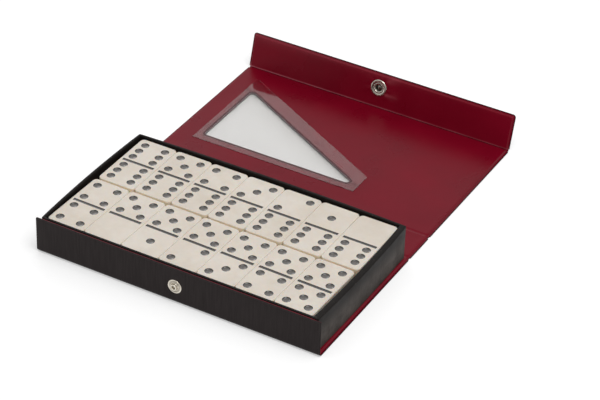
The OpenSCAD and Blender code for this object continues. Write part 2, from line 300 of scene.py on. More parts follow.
def marked(tree, name):
    """The value that a piece's mesh carries under a name."""
    return node(tree, "ShaderNodeAttribute", attribute_name=name).outputs["Fac"]


def shared(tree, a, b, share):
    """a and b added, with a's share given and the rest for b."""
    part, rest = math_node(tree, "MULTIPLY", a, share), math_node(tree, "MULTIPLY", b, 1 - share)
    return math_node(tree, "ADD", part, rest)


def spread(tree, value, low, high, to_low, to_high):
    values = {0: value, 1: low, 2: high, 3: to_low, 4: to_high}
    return node(tree, "ShaderNodeMapRange", values).outputs[0]


def link_up(tree, shader, **values):
    for key, value in values.items():
        tree.links.new(value, shader.inputs[key.replace("_", " ")])


def raise_by(tree, height, distance, strength, normal=None):
    values = {"Height": height, "Distance": distance * MM, "Strength": strength}
    if normal:
        values["Normal"] = normal
    return node(tree, "ShaderNodeBump", values).outputs[0]


def weld_marks(tree, coordinates):
    """Where the hot tool's fine teeth have printed, and the whole pressed line that they lie in."""
    off = math_node(tree, "ABSOLUTE", math_node(tree, "SUBTRACT", marked(tree, "from_edge"), WELD))
    band = spread(tree, off, 0.22, 0.4, 1.0, 0.0)
    axes = node(tree, "ShaderNodeSeparateXYZ", {0: coordinates}).outputs
    along = math_node(tree, "ADD", math_node(tree, "ADD", axes[0], axes[1]), axes[2])
    teeth = math_node(tree, "SINE", math_node(tree, "MULTIPLY", along, 2 * math.pi / (1.25 * MM)))
    return math_node(tree, "MULTIPLY", band, spread(tree, teeth, -0.4, 0.5, 0.0, 1.0)), band


def black_vinyl():
    material, tree, shader, at = new_material("black_vinyl", Specular_IOR_Level=0.15)
    streaks = noise(tree, stretched(tree, at, (1, 1, 0.06)), 900, 3, 0.6)
    pores = cells(tree, stretched(tree, at, (1, 1, 0.45)), 1250)
    clouds = noise(tree, at, 45, 3)
    teeth, _ = weld_marks(tree, at)
    tone = shared(tree, streaks, clouds, 0.75)
    plain = ramp(tree, tone, 0.34, (0.0130, 0.0086, 0.0086), 0.66, (0.0195, 0.0136, 0.0134))
    # Painted highlight: the hot tool's teeth are painted paler, for the light that the pressed ridge catches.
    lightened = blend_colour(tree, math_node(tree, "MULTIPLY", teeth, 0.35), plain, (0.045, 0.040, 0.039, 1))
    normal = raise_by(tree, pores, 0.05, 0.3)
    normal = raise_by(tree, streaks, 0.05, 0.35, normal)
    normal = raise_by(tree, teeth, 0.08, 0.6, normal)
    roughness = spread(tree, streaks, 0.3, 0.7, 0.58, 0.48)
    link_up(tree, shader, Base_Color=lightened, Roughness=roughness, Normal=normal)
    return material


BLACK = black_vinyl()
tray_part = (-HALF_WIDTH, HALF_WIDTH, FRONT_TOP, SPINE_FOLD - STRIP)
front_board = (-HALF_WIDTH + BORDER, HALF_WIDTH - BORDER, FRONT_TOP + BORDER, BEND_END - SHEET)
base_board = (-HALF_WIDTH + BORDER, HALF_WIDTH - BORDER, BEND_Y + SHEET, SPINE_FOLD - FOLD_HALF)


def tray_edge(x, s):
    """Distance from the free edges of the base and front panel; the side at the fold isn't free."""
    return depth_in(x, s, (-HALF_WIDTH, HALF_WIDTH, FRONT_TOP, SPINE_FOLD + 90), COVER_R)


def round_bend(x, s, n):
    """Lays the base flat, bends it up round the front edge and stands the front panel."""
    if s >= BEND_Y:
        return x, s, n
    if s >= BEND_END:
        a = (BEND_Y - s) / (BEND_Y - BEND_END) * math.pi / 2
        return x, BEND_Y - (BEND_R - n) * math.sin(a), BEND_R - (BEND_R - n) * math.cos(a)
    return x, FRONT_Y + n, BEND_R + BEND_END - s


def across(rect, inset=0.0, at=()):
    """Straight lines over the whole width, at the places given."""
    x0, x1 = rect[0] + inset, rect[1] - inset
    return [[(x0, s)] + [(x, s) for x in spaced(x0, x1)] + [(x1, s)] for s in at]


def inset(rect, by, free=(True, True)):
    """The rectangle drawn in from its sides and, where they are free, from its ends."""
    x0, x1, s0, s1 = rect
    return (x0 + by, x1 - by, s0 + (by if free[0] else 0), s1 - (by if free[1] else 0))


def black_groove(edge):
    return 0.11 * bump((edge - WELD) / 0.22) + 0.05 * ease((0.35 - edge) / 0.35)


bends = [BEND_Y - (BEND_Y - BEND_END) * k / 12 for k in range(13)]
weld_lines = (0.35, 0.6, 0.82, WELD, 1.18, 1.4, 2.0)


def stud_dip(x, s):
    """The vinyl is drawn in where the stud's flange is pressed on it."""
    return 0.14 * bump((math.hypot(x, s - STUD_S) - SNAP_R) / 1.4)


front_corners = (1, 1, 0, 0)
tray_pressed = [round_rect(inset(tray_part, d, (True, False)), 0.6, front_corners) for d in weld_lines]
base_black = cut_sheet(
    "base_and_front_black",
    BLACK,
    round_rect(tray_part, COVER_R, front_corners),
    tray_pressed
    + across(tray_part, at=bends)
    + [ring(0, STUD_S, SNAP_R + d) for d in (0.04, 0.5, 1.1, 1.9, 3.0, 4.4)],
    lambda x, s: black_groove(tray_edge(x, s)) + stud_dip(x, s),
    lambda x, s: SHEET,
    round_bend,
    gap=lambda x, s: math.hypot(x, s - STUD_S) < SNAP_R + 0.04,
    marks={"from_edge": tray_edge},
)
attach(base_black, "tray")
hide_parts("base_skin", "front_skin", "front_fold_web")

# --- Red vinyl of the base and the front panel --------------------------------------------------------
# Smooth, softly shining PVC, welded flat on the black round every board and drawn over the boards,
# where it keeps a low swell. It is cut a little smaller, so that a thin black edge shows round it.
RED_INSET = 0.2
WEB = 2 * SHEET
TOP = 1.6
BRIDGE = 1.36  # height of the red vinyl where it crosses a fold
BEAD_END = 2.6  # from the cover's side to where the bead along the front panel's top ends


def red_vinyl():
    material, tree, shader, at = new_material("red_vinyl", Specular_IOR_Level=0.11)
    clouds = noise(tree, at, 24, 4, 0.55)
    skin_grain = noise(tree, at, 2600, 2, 0.6)
    peel = noise(tree, at, 260, 3, 0.5)
    scuffs = noise(tree, stretched(tree, at, (1, 0.15, 1)), 420, 5, 0.7, 0.6)
    teeth, band = weld_marks(tree, at)
    colour = ramp(tree, clouds, 0.3, (0.136, 0.0005, 0.0080), 0.72, (0.174, 0.0009, 0.0108))
    for share, tint in (
        (spread(tree, scuffs, 0.60, 0.78, 0.0, 0.35), (0.21, 0.006, 0.020, 1)),
        (math_node(tree, "MULTIPLY", band, 0.25), (0.10, 0.001, 0.008, 1)),
        (math_node(tree, "MULTIPLY", teeth, 0.3), (0.24, 0.012, 0.032, 1)),
        # Darker along the red's cut edges; round the window, along the pressed line, this is partly painted
        # shade.
        (spread(tree, marked(tree, "from_edge"), RED_INSET, RED_INSET + 0.5, 0.75, 0.0),
         (0.030, 0.0015, 0.004, 1)),
        # Paler on the flap's red vinyl: partly stress whitening along its fold, partly painted highlight on
        # the crease and painted sheen on the raised folds and under its upper edge.
        (marked(tree, "paled_and_sheen"), (0.47, 0.138, 0.165, 1)),
    ):
        colour = blend_colour(tree, share, colour, tint)
    normal = raise_by(tree, skin_grain, 0.012, 0.5)
    normal = raise_by(tree, peel, 0.05, 0.35, normal)
    normal = raise_by(tree, teeth, 0.06, 0.6, normal)
    roughness = spread(tree, clouds, 0.3, 0.7, 0.25, 0.34)
    link_up(tree, shader, Base_Color=colour, Roughness=roughness, Normal=normal)
    return material


RED = red_vinyl()


def swell(x, s):
    """The loose red vinyl's shallow waves over a board, always a little below its highest."""
    waves = (
        math.sin(x / 9.7 + 0.4) * math.sin(s / 12.1 + 1.3)
        + 0.7 * math.sin((x + 1.6 * s) / 17.3)
        + 0.6 * math.sin((1.3 * x - s) / 11.9 + 2.1)
    )
    return 0.035 * waves - 0.08


def red_height(edge, board, x, s):
    """Height of the red vinyl's upper face: pressed at the weld, steep up to the board, then full.
    Only along the free edges is it welded down; over a fold it bridges the hollow."""
    low = WEB - 0.12 * bump((edge - WELD) / 0.22)
    low += (BRIDGE - WEB) * ease((edge - 1.25) / 0.75)
    climb = 0.9 * ease((board + 0.75) / 0.75) + 0.1 * ease(board / 2)
    return low + (TOP - low) * climb + swell(x, s) * ease((board - 0.6) / 4)


def red_under(board, over):
    """The lower face lies on the black sheet at the weld and on the board inside it."""
    return SHEET if board < 0.02 else max(SHEET, over - SHEET)


def climbs(board, part):
    """The lines round a board where the red vinyl climbs, as far as they lie on this part."""
    lines = []
    for d in (-0.75, -0.55, -0.35, -0.15, 0.0, 0.12, 0.6, 1.2, 2.2):
        x0, x1, s0, s1 = inset(board, d)
        lines.append(round_rect((x0, x1, max(s0, part[2]), min(s1, part[3])), BOARD_R))
    return lines


def tray_boards(x, s):
    return max(depth_in(x, s, front_board, BOARD_R), depth_in(x, s, base_board, BOARD_R))


def tray_red_over(x, s):
    """Along the front panel's top the red vinyl stands up in a bead against the tray."""
    bead = WEB + 0.22 * ease((HALF_WIDTH - abs(x) - BEAD_END) / 1.5)
    over = red_height(tray_edge(x, s), tray_boards(x, s), x, s)
    return max(over, bead) if s < FRONT_TOP + 6 else over


def red_front_edge(x, s):
    """Distance from the free edges. The bead along the front panel's top has no dark cut edge, so it
    counts as further in, the most at its right end."""
    on_bead = s < FRONT_TOP + 1 and abs(x) < HALF_WIDTH - BEAD_END
    return tray_edge(x, s) + (0.36 + 0.25 * ease((x - 55) / 25) if on_bead else 0)


WASHER_R = 4.1
red_tray_part = (-HALF_WIDTH + RED_INSET, HALF_WIDTH - RED_INSET, FRONT_TOP + 0.06, tray_part[3])
base_red = cut_sheet(
    "base_and_front_red",
    RED,
    round_rect(red_tray_part, 0.5, front_corners),
    tray_pressed[1:]
    + climbs(front_board, tray_part)
    + climbs(base_board, tray_part)
    + across(tray_part, RED_INSET, bends)
    + [ring(0, STUD_S, WASHER_R)],
    lambda x, s: red_under(tray_boards(x, s), tray_red_over(x, s)),
    tray_red_over,
    round_bend,
    gap=lambda x, s: math.hypot(x, s - STUD_S) < WASHER_R,
    marks={"from_edge": red_front_edge},
)
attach(base_red, "tray")
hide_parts("base_lining", "front_lining")

# --- Stiffening boards -------------------------------------------------------------------------------
# Five pieces of 1 mm grey chipboard, cut square, loose between the two vinyls. They show only where
# something is cut away, and keep the shapes of the frame.


def chipboard():
    material, tree, shader, at = new_material("grey_board", Roughness=0.9, Specular_IOR_Level=0.2)
    fibres = noise(tree, stretched(tree, at, (1, 0.35, 1)), 900, 6, 0.65, 1.2)
    pulp = ramp(tree, fibres, 0.3, (0.19, 0.165, 0.135), 0.7, (0.33, 0.30, 0.255))
    flecks = spread(tree, cells(tree, at, 700), 0.06, 0.12, 0.6, 0.0)
    flecked = blend_colour(tree, flecks, pulp, (0.09, 0.08, 0.07, 1))
    link_up(tree, shader, Base_Color=flecked, Normal=raise_by(tree, fibres, 0.08, 0.6))
    return material


BOARD = chipboard()


def refinish(node_name, material):
    """Gives a piece of the frame its finish and leaves its shape alone."""
    piece = frame["nodes"][node_name]
    piece.data.materials.clear()
    piece.data.materials.append(material)


for part in ("base", "front", "spine", "lid", "flap"):
    refinish(part + "_board", BOARD)

# --- Tray ---------------------------------------------------------------------------------------------
# Card walls on a floor card, glued up square and covered with black grained paper that is turned over
# the rim and down the inside. The short walls and the back wall have bowed out a little.
TRAY_HALF = (92.5, 52.95)
TRAY_Z, FLOOR_Z = 1.6, 3.5
SIDE_BOW, BACK_BOW = 1.5, 1.8
PAPER = 0.3
WALL = 1.8
PADDING = 2.1  # how much thicker the right wall is inside
CORNER_R = 0.9
CORNERS = ((1, 1, 0), (-1, 1, 90), (-1, -1, 180), (1, -1, 270))  # towards each corner, and its angle
BACK_PARTS, SIDE_PARTS = 46, 26  # steps along each long wall and each short one


def bow(along, half, most, z):
    """How far a wall has bowed out: nothing at its corners, most at the middle of its rim."""
    share = math.cos(min(1.0, abs(along) / half) * math.pi / 2) ** 0.8
    return most * share * (0.4 + 0.6 * (z - TRAY_Z) / (RIM_Z - TRAY_Z))


def tray_plan(k, z):
    """The tray's outline at height z, drawn in by k, with the same number of points for every k."""
    r = max(CORNER_R - k, 0.12)
    hx, hy = TRAY_HALF[0] - k, TRAY_HALF[1] - k
    line = []
    for sx, sy, start in CORNERS:
        line += arc(sx * (hx - r), sy * (hy - r), r, start, range(0, 91, 15))
    whole = []
    for i, (a, b) in enumerate(zip(line, line[1:] + line[:1])):
        whole.append(a)
        if i % 7 == 6:  # a wall starts after each corner's seven points
            whole += between(a, b, BACK_PARTS if i in (6, 20) else SIDE_PARTS)
    bowed = []
    for x, y in whole:
        out = bow(y, TRAY_HALF[1], SIDE_BOW, z) * ease(abs(x) / TRAY_HALF[0] * 8 - 7)
        behind = bow(x, TRAY_HALF[0], BACK_BOW, z) * ease(y / TRAY_HALF[1] * 8 - 7)
        padding = PADDING * ease((x - TRAY_HALF[0] + 7) / 4) if k > WALL / 2 else 0
        bowed.append((x + math.copysign(out, x) - padding, y + behind, z))
    return bowed


def skin_through(name, rows):
    """A mesh through closed rows of points, with its two ends filled."""
    n, last = len(rows[0]), len(rows) - 1
    faces = [
        (i * n + j, i * n + (j + 1) % n, (i + 1) * n + (j + 1) % n, (i + 1) * n + j)
        for i in range(last) for j in range(n)
    ]
    faces += [tuple(reversed(range(n))), tuple(range(last * n, (last + 1) * n))]
    mesh = bpy.data.meshes.new(name)
    mesh.from_pydata([p for row in rows for p in row], [], faces)
    mesh.validate()
    return mesh


def grained_paper():
    material, tree, shader, at = new_material("tray_covering", Specular_IOR_Level=0.09)
    streaks = noise(tree, stretched(tree, at, (1, 1, 0.08)), 700, 3, 0.6)
    grain = cells(tree, stretched(tree, at, (1, 1, 0.7)), 1350)
    clouds = noise(tree, at, 75, 5, 0.6)
    tone = shared(tree, streaks, clouds, 0.3)
    plain = ramp(tree, tone, 0.35, (0.026, 0.0215, 0.0190), 0.68, (0.070, 0.058, 0.050))
    # Painted shade: the paper is painted darker towards the rim, with a patchy edge.
    height = node(tree, "ShaderNodeSeparateXYZ", {0: at}).outputs[2]
    patchy = math_node(tree, "ADD", height, spread(tree, clouds, 0.3, 0.7, -0.003, 0.003))
    painted_shading = spread(tree, patchy, 0.013, 0.021, 0.0, 1.0)
    darker = blend_colour(tree, painted_shading, plain, (0.0080, 0.0062, 0.0054, 1))
    # Painted highlight: pale specks are painted on the rim's top as glints.
    specks = spread(tree, noise(tree, at, 1100, 3, 0.7), 0.62, 0.74, 0.0, 0.5)
    lightened = math_node(tree, "MULTIPLY", specks, spread(tree, height, 0.0225, 0.0240, 0.0, 1.0))
    glinting_rim = blend_colour(tree, lightened, darker, (0.13, 0.11, 0.095, 1))
    roughness = spread(tree, clouds, 0.3, 0.7, 0.6, 0.44)
    normal = raise_by(tree, streaks, 0.05, 0.4, raise_by(tree, grain, 0.06, 0.7))
    link_up(tree, shader, Base_Color=glinting_rim, Roughness=roughness, Normal=normal)
    return material


def rim_turn(corner, r):
    """The quarter turns over the rim's two edges, as (distance inwards, height)."""
    quarter = [math.radians(a) for a in (0, 22.5, 45, 67.5, 90)]
    outer = [(corner - r * math.cos(a), RIM_Z - corner + r * math.sin(a)) for a in quarter]
    return outer + [(WALL - k, z) for k, z in reversed(outer)]


RIM_TURN, HALF_UP = 0.45, 14.0  # radius over the rim's edges, and a height between floor and rim
section = (
    [(0.0, TRAY_Z), (0.0, 6.0), (0.0, 12.0), (0.0, 18.0), (0.0, 22.5)]
    + rim_turn(RIM_TURN, RIM_TURN)
    + [(WALL, HALF_UP), (WALL, FLOOR_Z), (WALL - PAPER, FLOOR_Z), (WALL - PAPER, HALF_UP)]
    + rim_turn(RIM_TURN, RIM_TURN - PAPER)[::-1]
    + [(PAPER, HALF_UP), (PAPER, TRAY_Z)]
)
walls_round = list(zip(*[tray_plan(k, z) for k, z in section]))
round_tray = len(walls_round)
PAPER_BLACK = grained_paper()
for name, spots in (
    ("tray_paper", [i % round_tray for i in range(round_tray + 6, 6 + BACK_PARTS - 1, -1)]),
    ("tray_back_paper", range(6 + BACK_PARTS, 5, -1)),
):
    covering = finish_mesh(name, skin_through(name, [walls_round[i] for i in spots]), [PAPER_BLACK])
    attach(covering, "tray")
    if name == "tray_paper":
        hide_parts("tray_covering")
    else:
        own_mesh(covering)

CARD_TOP = RIM_Z - PAPER - 0.05
CARD_T, CARD_EDGE = 1.16, 0.3  # thickness, and how far the top's edges are taken off
for name, side, across_x in (
    ("left", -1, True), ("right", 1, True), ("front", -1, False), ("back", 1, False)
):
    reach = TRAY_HALF[1] - PAPER - 1.25 if across_x else TRAY_HALF[0] - PAPER - 0.2
    rows = []
    for i in range(31):
        t = -reach + 2 * reach * i / 30
        outer = (TRAY_HALF[0] if across_x else TRAY_HALF[1]) - PAPER - 0.02
        inner, shoulder = outer - CARD_T, CARD_TOP - 0.35
        corners = [(outer, FLOOR_Z), (outer, shoulder), (outer - CARD_EDGE, CARD_TOP),
                   (inner + CARD_EDGE, CARD_TOP), (inner, shoulder), (inner, FLOOR_Z)]
        most = SIDE_BOW if across_x else (BACK_BOW if side > 0 else 0)
        half = TRAY_HALF[1] if across_x else TRAY_HALF[0]
        corners = [(side * (o + bow(t, half, most, z)), z) for o, z in corners]
        rows.append([(o, t, z) if across_x else (t, o, z) for o, z in corners])
    if side * (1 if across_x else -1) > 0:
        rows.reverse()
    title = name + "_wall_card"
    card = finish_mesh(title, skin_through(title, rows), [BOARD], smooth_below=30)
    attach(card, "tray")
    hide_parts("tray_wall_" + name)
    if name == "back":
        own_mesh(card)
refinish("tray_floor_card", BOARD)

# --- Stud on the front panel --------------------------------------------------------------------------
# The lower half of the snap fastener, drawn from thin nickel-plated brass: a rolled flange let into
# the vinyl and a hollow head, riveted through the board over a washer.


def nickel():
    material, tree, shader, at = new_material("nickel", Metallic=1.0)
    clouds = noise(tree, at, 420, 4, 0.6)
    rubs = noise(tree, stretched(tree, at, (1, 0.2, 1)), 2600, 4, 0.7, 0.5)
    plain = ramp(tree, clouds, 0.3, (0.56, 0.51, 0.43), 0.7, (0.80, 0.745, 0.655))
    # Painted shade: the metal is painted dark where its mesh marks it, in the hollows and centre holes,
    # partly tarnished metal and partly the shade that falls there.
    tarnished_and_shaded = blend_colour(tree, marked(tree, "tarnish_and_shade"), plain, (0.035, 0.028, 0.021, 1))
    roughness = spread(tree, rubs, 0.3, 0.75, 0.14, 0.32)
    link_up(tree, shader, Base_Color=tarnished_and_shaded, Roughness=roughness, Normal=raise_by(tree, rubs, 0.004, 0.4))
    return material


NICKEL = nickel()


def turned(name, profile, material, place, tarnish_and_shade=None, points=64):
    """A closed turned piece: profile runs from the axis to the axis as (radius, height). A function of radius
    and height gives how dark the metal is painted there: partly tarnished metal and partly painted shade in
    its hollows."""
    rows = [[(x, y, z) for x, y in ring(0, 0, r, points)] for r, z in profile[1:-1]]
    vertices = [(0, 0, profile[0][1])] + [p for row in rows for p in row] + [(0, 0, profile[-1][1])]
    last = len(vertices) - 1
    faces = []
    for j in range(points):
        k = (j + 1) % points
        faces.append((0, 1 + k, 1 + j))
        for i in range(len(rows) - 1):
            a, b = 1 + i * points, 1 + (i + 1) * points
            faces.append((a + j, a + k, b + k, b + j))
        a = 1 + (len(rows) - 1) * points
        faces.append((a + j, a + k, last))
    mesh = bpy.data.meshes.new(name)
    mesh.from_pydata([place(*v) for v in vertices], [], faces)
    if tarnish_and_shade:
        tarnish_and_shade_values = [tarnish_and_shade(math.hypot(x, y), z) for x, y, z in vertices]
        mesh.attributes.new("tarnish_and_shade", "FLOAT", "POINT").data.foreach_set("value", tarnish_and_shade_values)
    mesh.validate()
    return finish_mesh(name, mesh, [material], smooth_below=50)


def on_front(x, s, n):
    """From a point on the panel, with n outwards from its face, to its place on the front."""
    return x, FRONT_Y - n, STUD_HEIGHT + s


stud_profile = [
    (0, -1.55), (1.3, -1.55), (1.3, -0.65), (4.5, -0.62), (4.55, -0.2), (4.53, 0.02), (4.42, 0.11),
    (4.2, 0.15), (3.95, 0.13), (3.78, 0.04), (3.66, -0.06), (3.5, -0.2), (3.1, -0.24), (2.96, -0.16),
    (2.86, 0.0), (2.72, 0.16), (2.5, 0.12), (2.26, -0.05), (2.08, 0.1), (1.98, 0.5), (2.0, 0.95), (2.1, 1.24),
    (2.06, 1.48), (1.86, 1.64), (1.6, 1.68), (1.34, 1.62), (1.16, 1.42), (1.08, 1.0), (1.04, 0.3),
    (0.86, 0.05), (0.5, 0.02), (0.36, 0.1), (0.3, 0.42), (0.2, 0.55), (0, 0.6),
]
# Painted shade: the stud is painted dark under its flange, in the groove round its head and in its centre
# hole.
stud = turned("stud", stud_profile, NICKEL, on_front,
              lambda r, z: 0.4 * (z < -0.05) + 0.2 * (2.2 < r < 2.7) + 0.7 * (r < 1.05 and z < 0.2))
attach(stud, "tray")
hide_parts("snap_stud")
refinish("stud_washer", NICKEL)

# --- Spine --------------------------------------------------------------------------------------------
# The strip of cover behind the tray, with its own board. The two vinyls are welded flat along each
# fold, and there a narrow loose strip bends as a living hinge, pressed in a little at both ends.
STRIP_INSET = 0.55
BRIDGE_END = BRIDGE + (TOP - BRIDGE) * 0.9 * ease((STRIP - FOLD_HALF + 0.75) / 0.75)


def flat(x, s, n):
    return x, s, n


def side_edge(x, s):
    return HALF_WIDTH - abs(x)


def bridge(x, fold_y, s):
    """Height of the red vinyl over a fold: a shallow hollow, pressed flat at the cover's side edges."""
    away = abs(s - fold_y) / STRIP
    middle = BRIDGE + (BRIDGE_END - BRIDGE) * away ** 2 + 0.04 * math.sin(x / 7.3 + fold_y) * (1 - away)
    return WEB + (middle - WEB) * ease((HALF_WIDTH - abs(x) - 1.25) / 0.75)


def fold_strip(name, fold_y, bent, black, paled_and_sheen=None):
    """A vinyl strip over one fold, already bent by the angle that it has at rest."""
    half = HALF_WIDTH - STRIP_INSET - (0 if black else RED_INSET)
    axis = Vector((0, fold_y, FOLD_Z))
    lift = 0 if black else BRIDGE_END - FOLD_Z
    start = axis + Vector((0, -STRIP, lift))
    end = axis + Matrix.Rotation(bent, 3, "X") @ Vector((0, STRIP, lift))
    chord = end - start

    def place(x, s, n):
        """Turns a point about the fold by the share of the angle that fits its place on the chord."""
        arm = Vector((x, s - fold_y, n - FOLD_Z))
        t = (s - fold_y + STRIP) / (2 * STRIP)
        for _ in range(30):
            point = axis + Matrix.Rotation(bent * ease(t), 3, "X") @ arm
            t = 0.5 * t + 0.5 * min(max((point - start).dot(chord) / chord.length_squared, 0), 1)
        return point.x, point.y, max(point.z, 0.0)

    rect = (-half, half, fold_y - STRIP, fold_y + STRIP)
    strip = cut_sheet(
        name,
        BLACK if black else RED,
        round_rect(rect),
        across(rect, at=[fold_y - STRIP + 2 * STRIP * k / 14 for k in range(1, 14)])
        + [[(x, fold_y - STRIP), (x, fold_y + STRIP)]
           for side in (-1, 1) for x in (side * (HALF_WIDTH - d) for d in (1.25, 1.5, 1.75, 2.0))],
        lambda x, s: 0.0 if black else SHEET,
        lambda x, s: SHEET if black else bridge(x, fold_y, s),
        place,
        marks={"from_edge": side_edge, "paled_and_sheen": paled_and_sheen},
    )
    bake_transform(strip)
    return strip


def fold_strips(name, fold_y, bent=0.0, paled_and_sheen=None):
    """Both vinyls over one fold. The black one stands for the frame's whole strip."""
    strip = fold_strip(name + "_black", fold_y, bent, True, paled_and_sheen)
    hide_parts(name + "_web")
    fold_strip(name + "_red", fold_y, bent, False, paled_and_sheen)


def level(x, s):
    """No dent and no relief."""
    return 0.0


def panel(name, rect, board, place=flat, edge=side_edge, free=(False, False), r=0.0, dent=level,
          relief=level, sealed=None, black_lines=(), red_lines=(), black_gap=None, red_gap=None,
          red_edge=None, paled_and_sheen=None):
    """One stiffened part of the cover, black outside and red inside, from fold to fold. dent draws
    the black vinyl's outside in, and relief is added to the red one's height. Where sealed is true
    the red vinyl lies on the black, without a board."""
    corners = (free[0], free[0], free[1], free[1])
    pressed = [round_rect(inset(rect, d, free), max(r - d, 0.5), corners) for d in weld_lines]
    black = cut_sheet(
        name + "_black", BLACK, round_rect(rect, r, corners), [*pressed, *black_lines],
        lambda x, s: black_groove(edge(x, s)) + dent(x, s), lambda x, s: SHEET, place,
        gap=black_gap, marks={"from_edge": edge},
    )

    def over(x, s):
        return red_height(edge(x, s), depth_in(x, s, board, BOARD_R), x, s) + relief(x, s)

    def under(x, s):
        if sealed and sealed(x, s):
            return SHEET
        return red_under(depth_in(x, s, board, BOARD_R), over(x, s))

    red = cut_sheet(
        name + "_red", RED, round_rect(inset(rect, RED_INSET, free), max(r - RED_INSET, 0), corners),
        [*pressed[1:], *climbs(board, rect), *red_lines], under, over, place,
        gap=red_gap, marks={"from_edge": red_edge or edge, "paled_and_sheen": paled_and_sheen},
    )
    for sheet, node_name, slot in ((black, "_skin", "black_vinyl"), (red, "_lining", "red_vinyl")):
        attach(sheet, name)
        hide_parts(name + node_name)


def board_between(a, b, end=0.0):
    return (-HALF_WIDTH + BORDER, HALF_WIDTH - BORDER, a + FOLD_HALF, b - (end or FOLD_HALF))


fold_strips("spine_fold", SPINE_FOLD)
panel("spine", (-HALF_WIDTH, HALF_WIDTH, SPINE_FOLD + STRIP, LID_FOLD - STRIP),
      board_between(SPINE_FOLD, LID_FOLD))

# --- Lid ----------------------------------------------------------------------------------------------
# The largest panel, with a three-cornered window near its left end. Round the window the two vinyls are
# welded together and cut through, and a narrow dark line is painted along the cut, in the red and on the
# clear sheet over it: partly the hot tool's darkening and partly painted shade between the clear sheet and
# the vinyl.
WINDOW_X, WINDOW_Y = -HALF_WIDTH + 18.3, LID_FOLD + 23.3
WINDOW_W, WINDOW_H, WINDOW_R = 111.0, 61.0, 2.4
LIP = 1.2  # width of the pressed line round the window
slant = math.atan2(WINDOW_H, WINDOW_W)


def window_tips(r):
    """The middles of the window's three rounded corners, from its own right angle: (along, up)."""
    sharp, high = r / math.tan(slant / 2), r / math.tan((math.pi / 2 - slant) / 2)
    return [(r, r), (WINDOW_W - sharp, r), (r, WINDOW_H - high)]


def window_line(grow):
    """The window's rounded outline, grown by a distance."""
    square = 90 - math.degrees(slant)
    line = []
    for (cx, cs), first, last in zip(window_tips(WINDOW_R), (180, -90, square), (270, square, 180)):
        turns = [(last - first) * i / 10 for i in range(11)]
        line += arc(WINDOW_X + cx, WINDOW_Y + cs, WINDOW_R + grow, first, turns)
    whole = []
    for a, b in zip(line, line[1:] + line[:1]):
        whole += [a, *between(a, b, int(math.dist(a, b) / SPACING))]
    return whole


def from_window(x, s):
    """Distance from the window's outline, negative inside it."""
    u, v = x - WINDOW_X, s - WINDOW_Y
    tips = window_tips(WINDOW_R)
    inside, nearest = True, 1e9
    for (ax, ay), (bx, by) in zip(tips, tips[1:] + tips[:1]):
        ex, ey = bx - ax, by - ay
        t = min(max(((u - ax) * ex + (v - ay) * ey) / (ex * ex + ey * ey), 0), 1)
        nearest = min(nearest, math.hypot(u - ax - t * ex, v - ay - t * ey))
        inside = inside and ex * (v - ay) - ey * (u - ax) >= 0
    return (-nearest if inside else nearest) - WINDOW_R


lid_part = (-HALF_WIDTH, HALF_WIDTH, LID_FOLD + STRIP, FLAP_FOLD - STRIP)


def window_relief(x, s):
    """Near the window the vinyl is pressed down in a narrow line along the cut edge."""
    d = from_window(x, s)
    return -0.12 * ease(1 - (d - LIP) / 0.6) - 0.1 * ease((LIP + 0.05 - d) / 0.4)


def lid_edge_and_window_shade(x, s):
    """Distance from the nearest cut edge; the pressed line round the window counts as one, so the red is
    painted dark along it: partly the hot tool's darkening and partly painted shade.
    """
    d = from_window(x, s)
    return min(side_edge(x, s), RED_INSET + 0.1 * d if d < LIP + 0.1 else 9.0)


fold_strips("lid_fold", LID_FOLD)
panel(
    "lid", lid_part, board_between(LID_FOLD, FLAP_FOLD),
    dent=lambda x, s: 0.06 * ease(1 - from_window(x, s) / 0.4),
    relief=window_relief,
    sealed=lambda x, s: from_window(x, s) < 2.0,
    black_lines=[window_line(d) for d in (0.0, 0.1, 0.2, 0.4)],
    red_lines=[
        window_line(d) for d in (0.05, 0.4, 0.8, 0.95, 1.1, LIP, 1.3, 1.32, 1.5, 1.7, 2.0, 2.6, 3.6)
    ],
    black_gap=lambda x, s: from_window(x, s) < 0,
    red_gap=lambda x, s: from_window(x, s) < 0.05,
    red_edge=lid_edge_and_window_shade,
)

# --- Clear sheet over the window ----------------------------------------------------------------------
# Quarter-millimetre clear PVC, cut with its sharp end squared off and welded on the red vinyl. It
# lies almost flat and mirrors a little of what stands round it.
SHEET_SIDE, SHEET_FOOT, SHEET_SLANT, TIP_CUT = 4.7, 6.1, 10.8, 2.0
CLEAR_T = 0.25


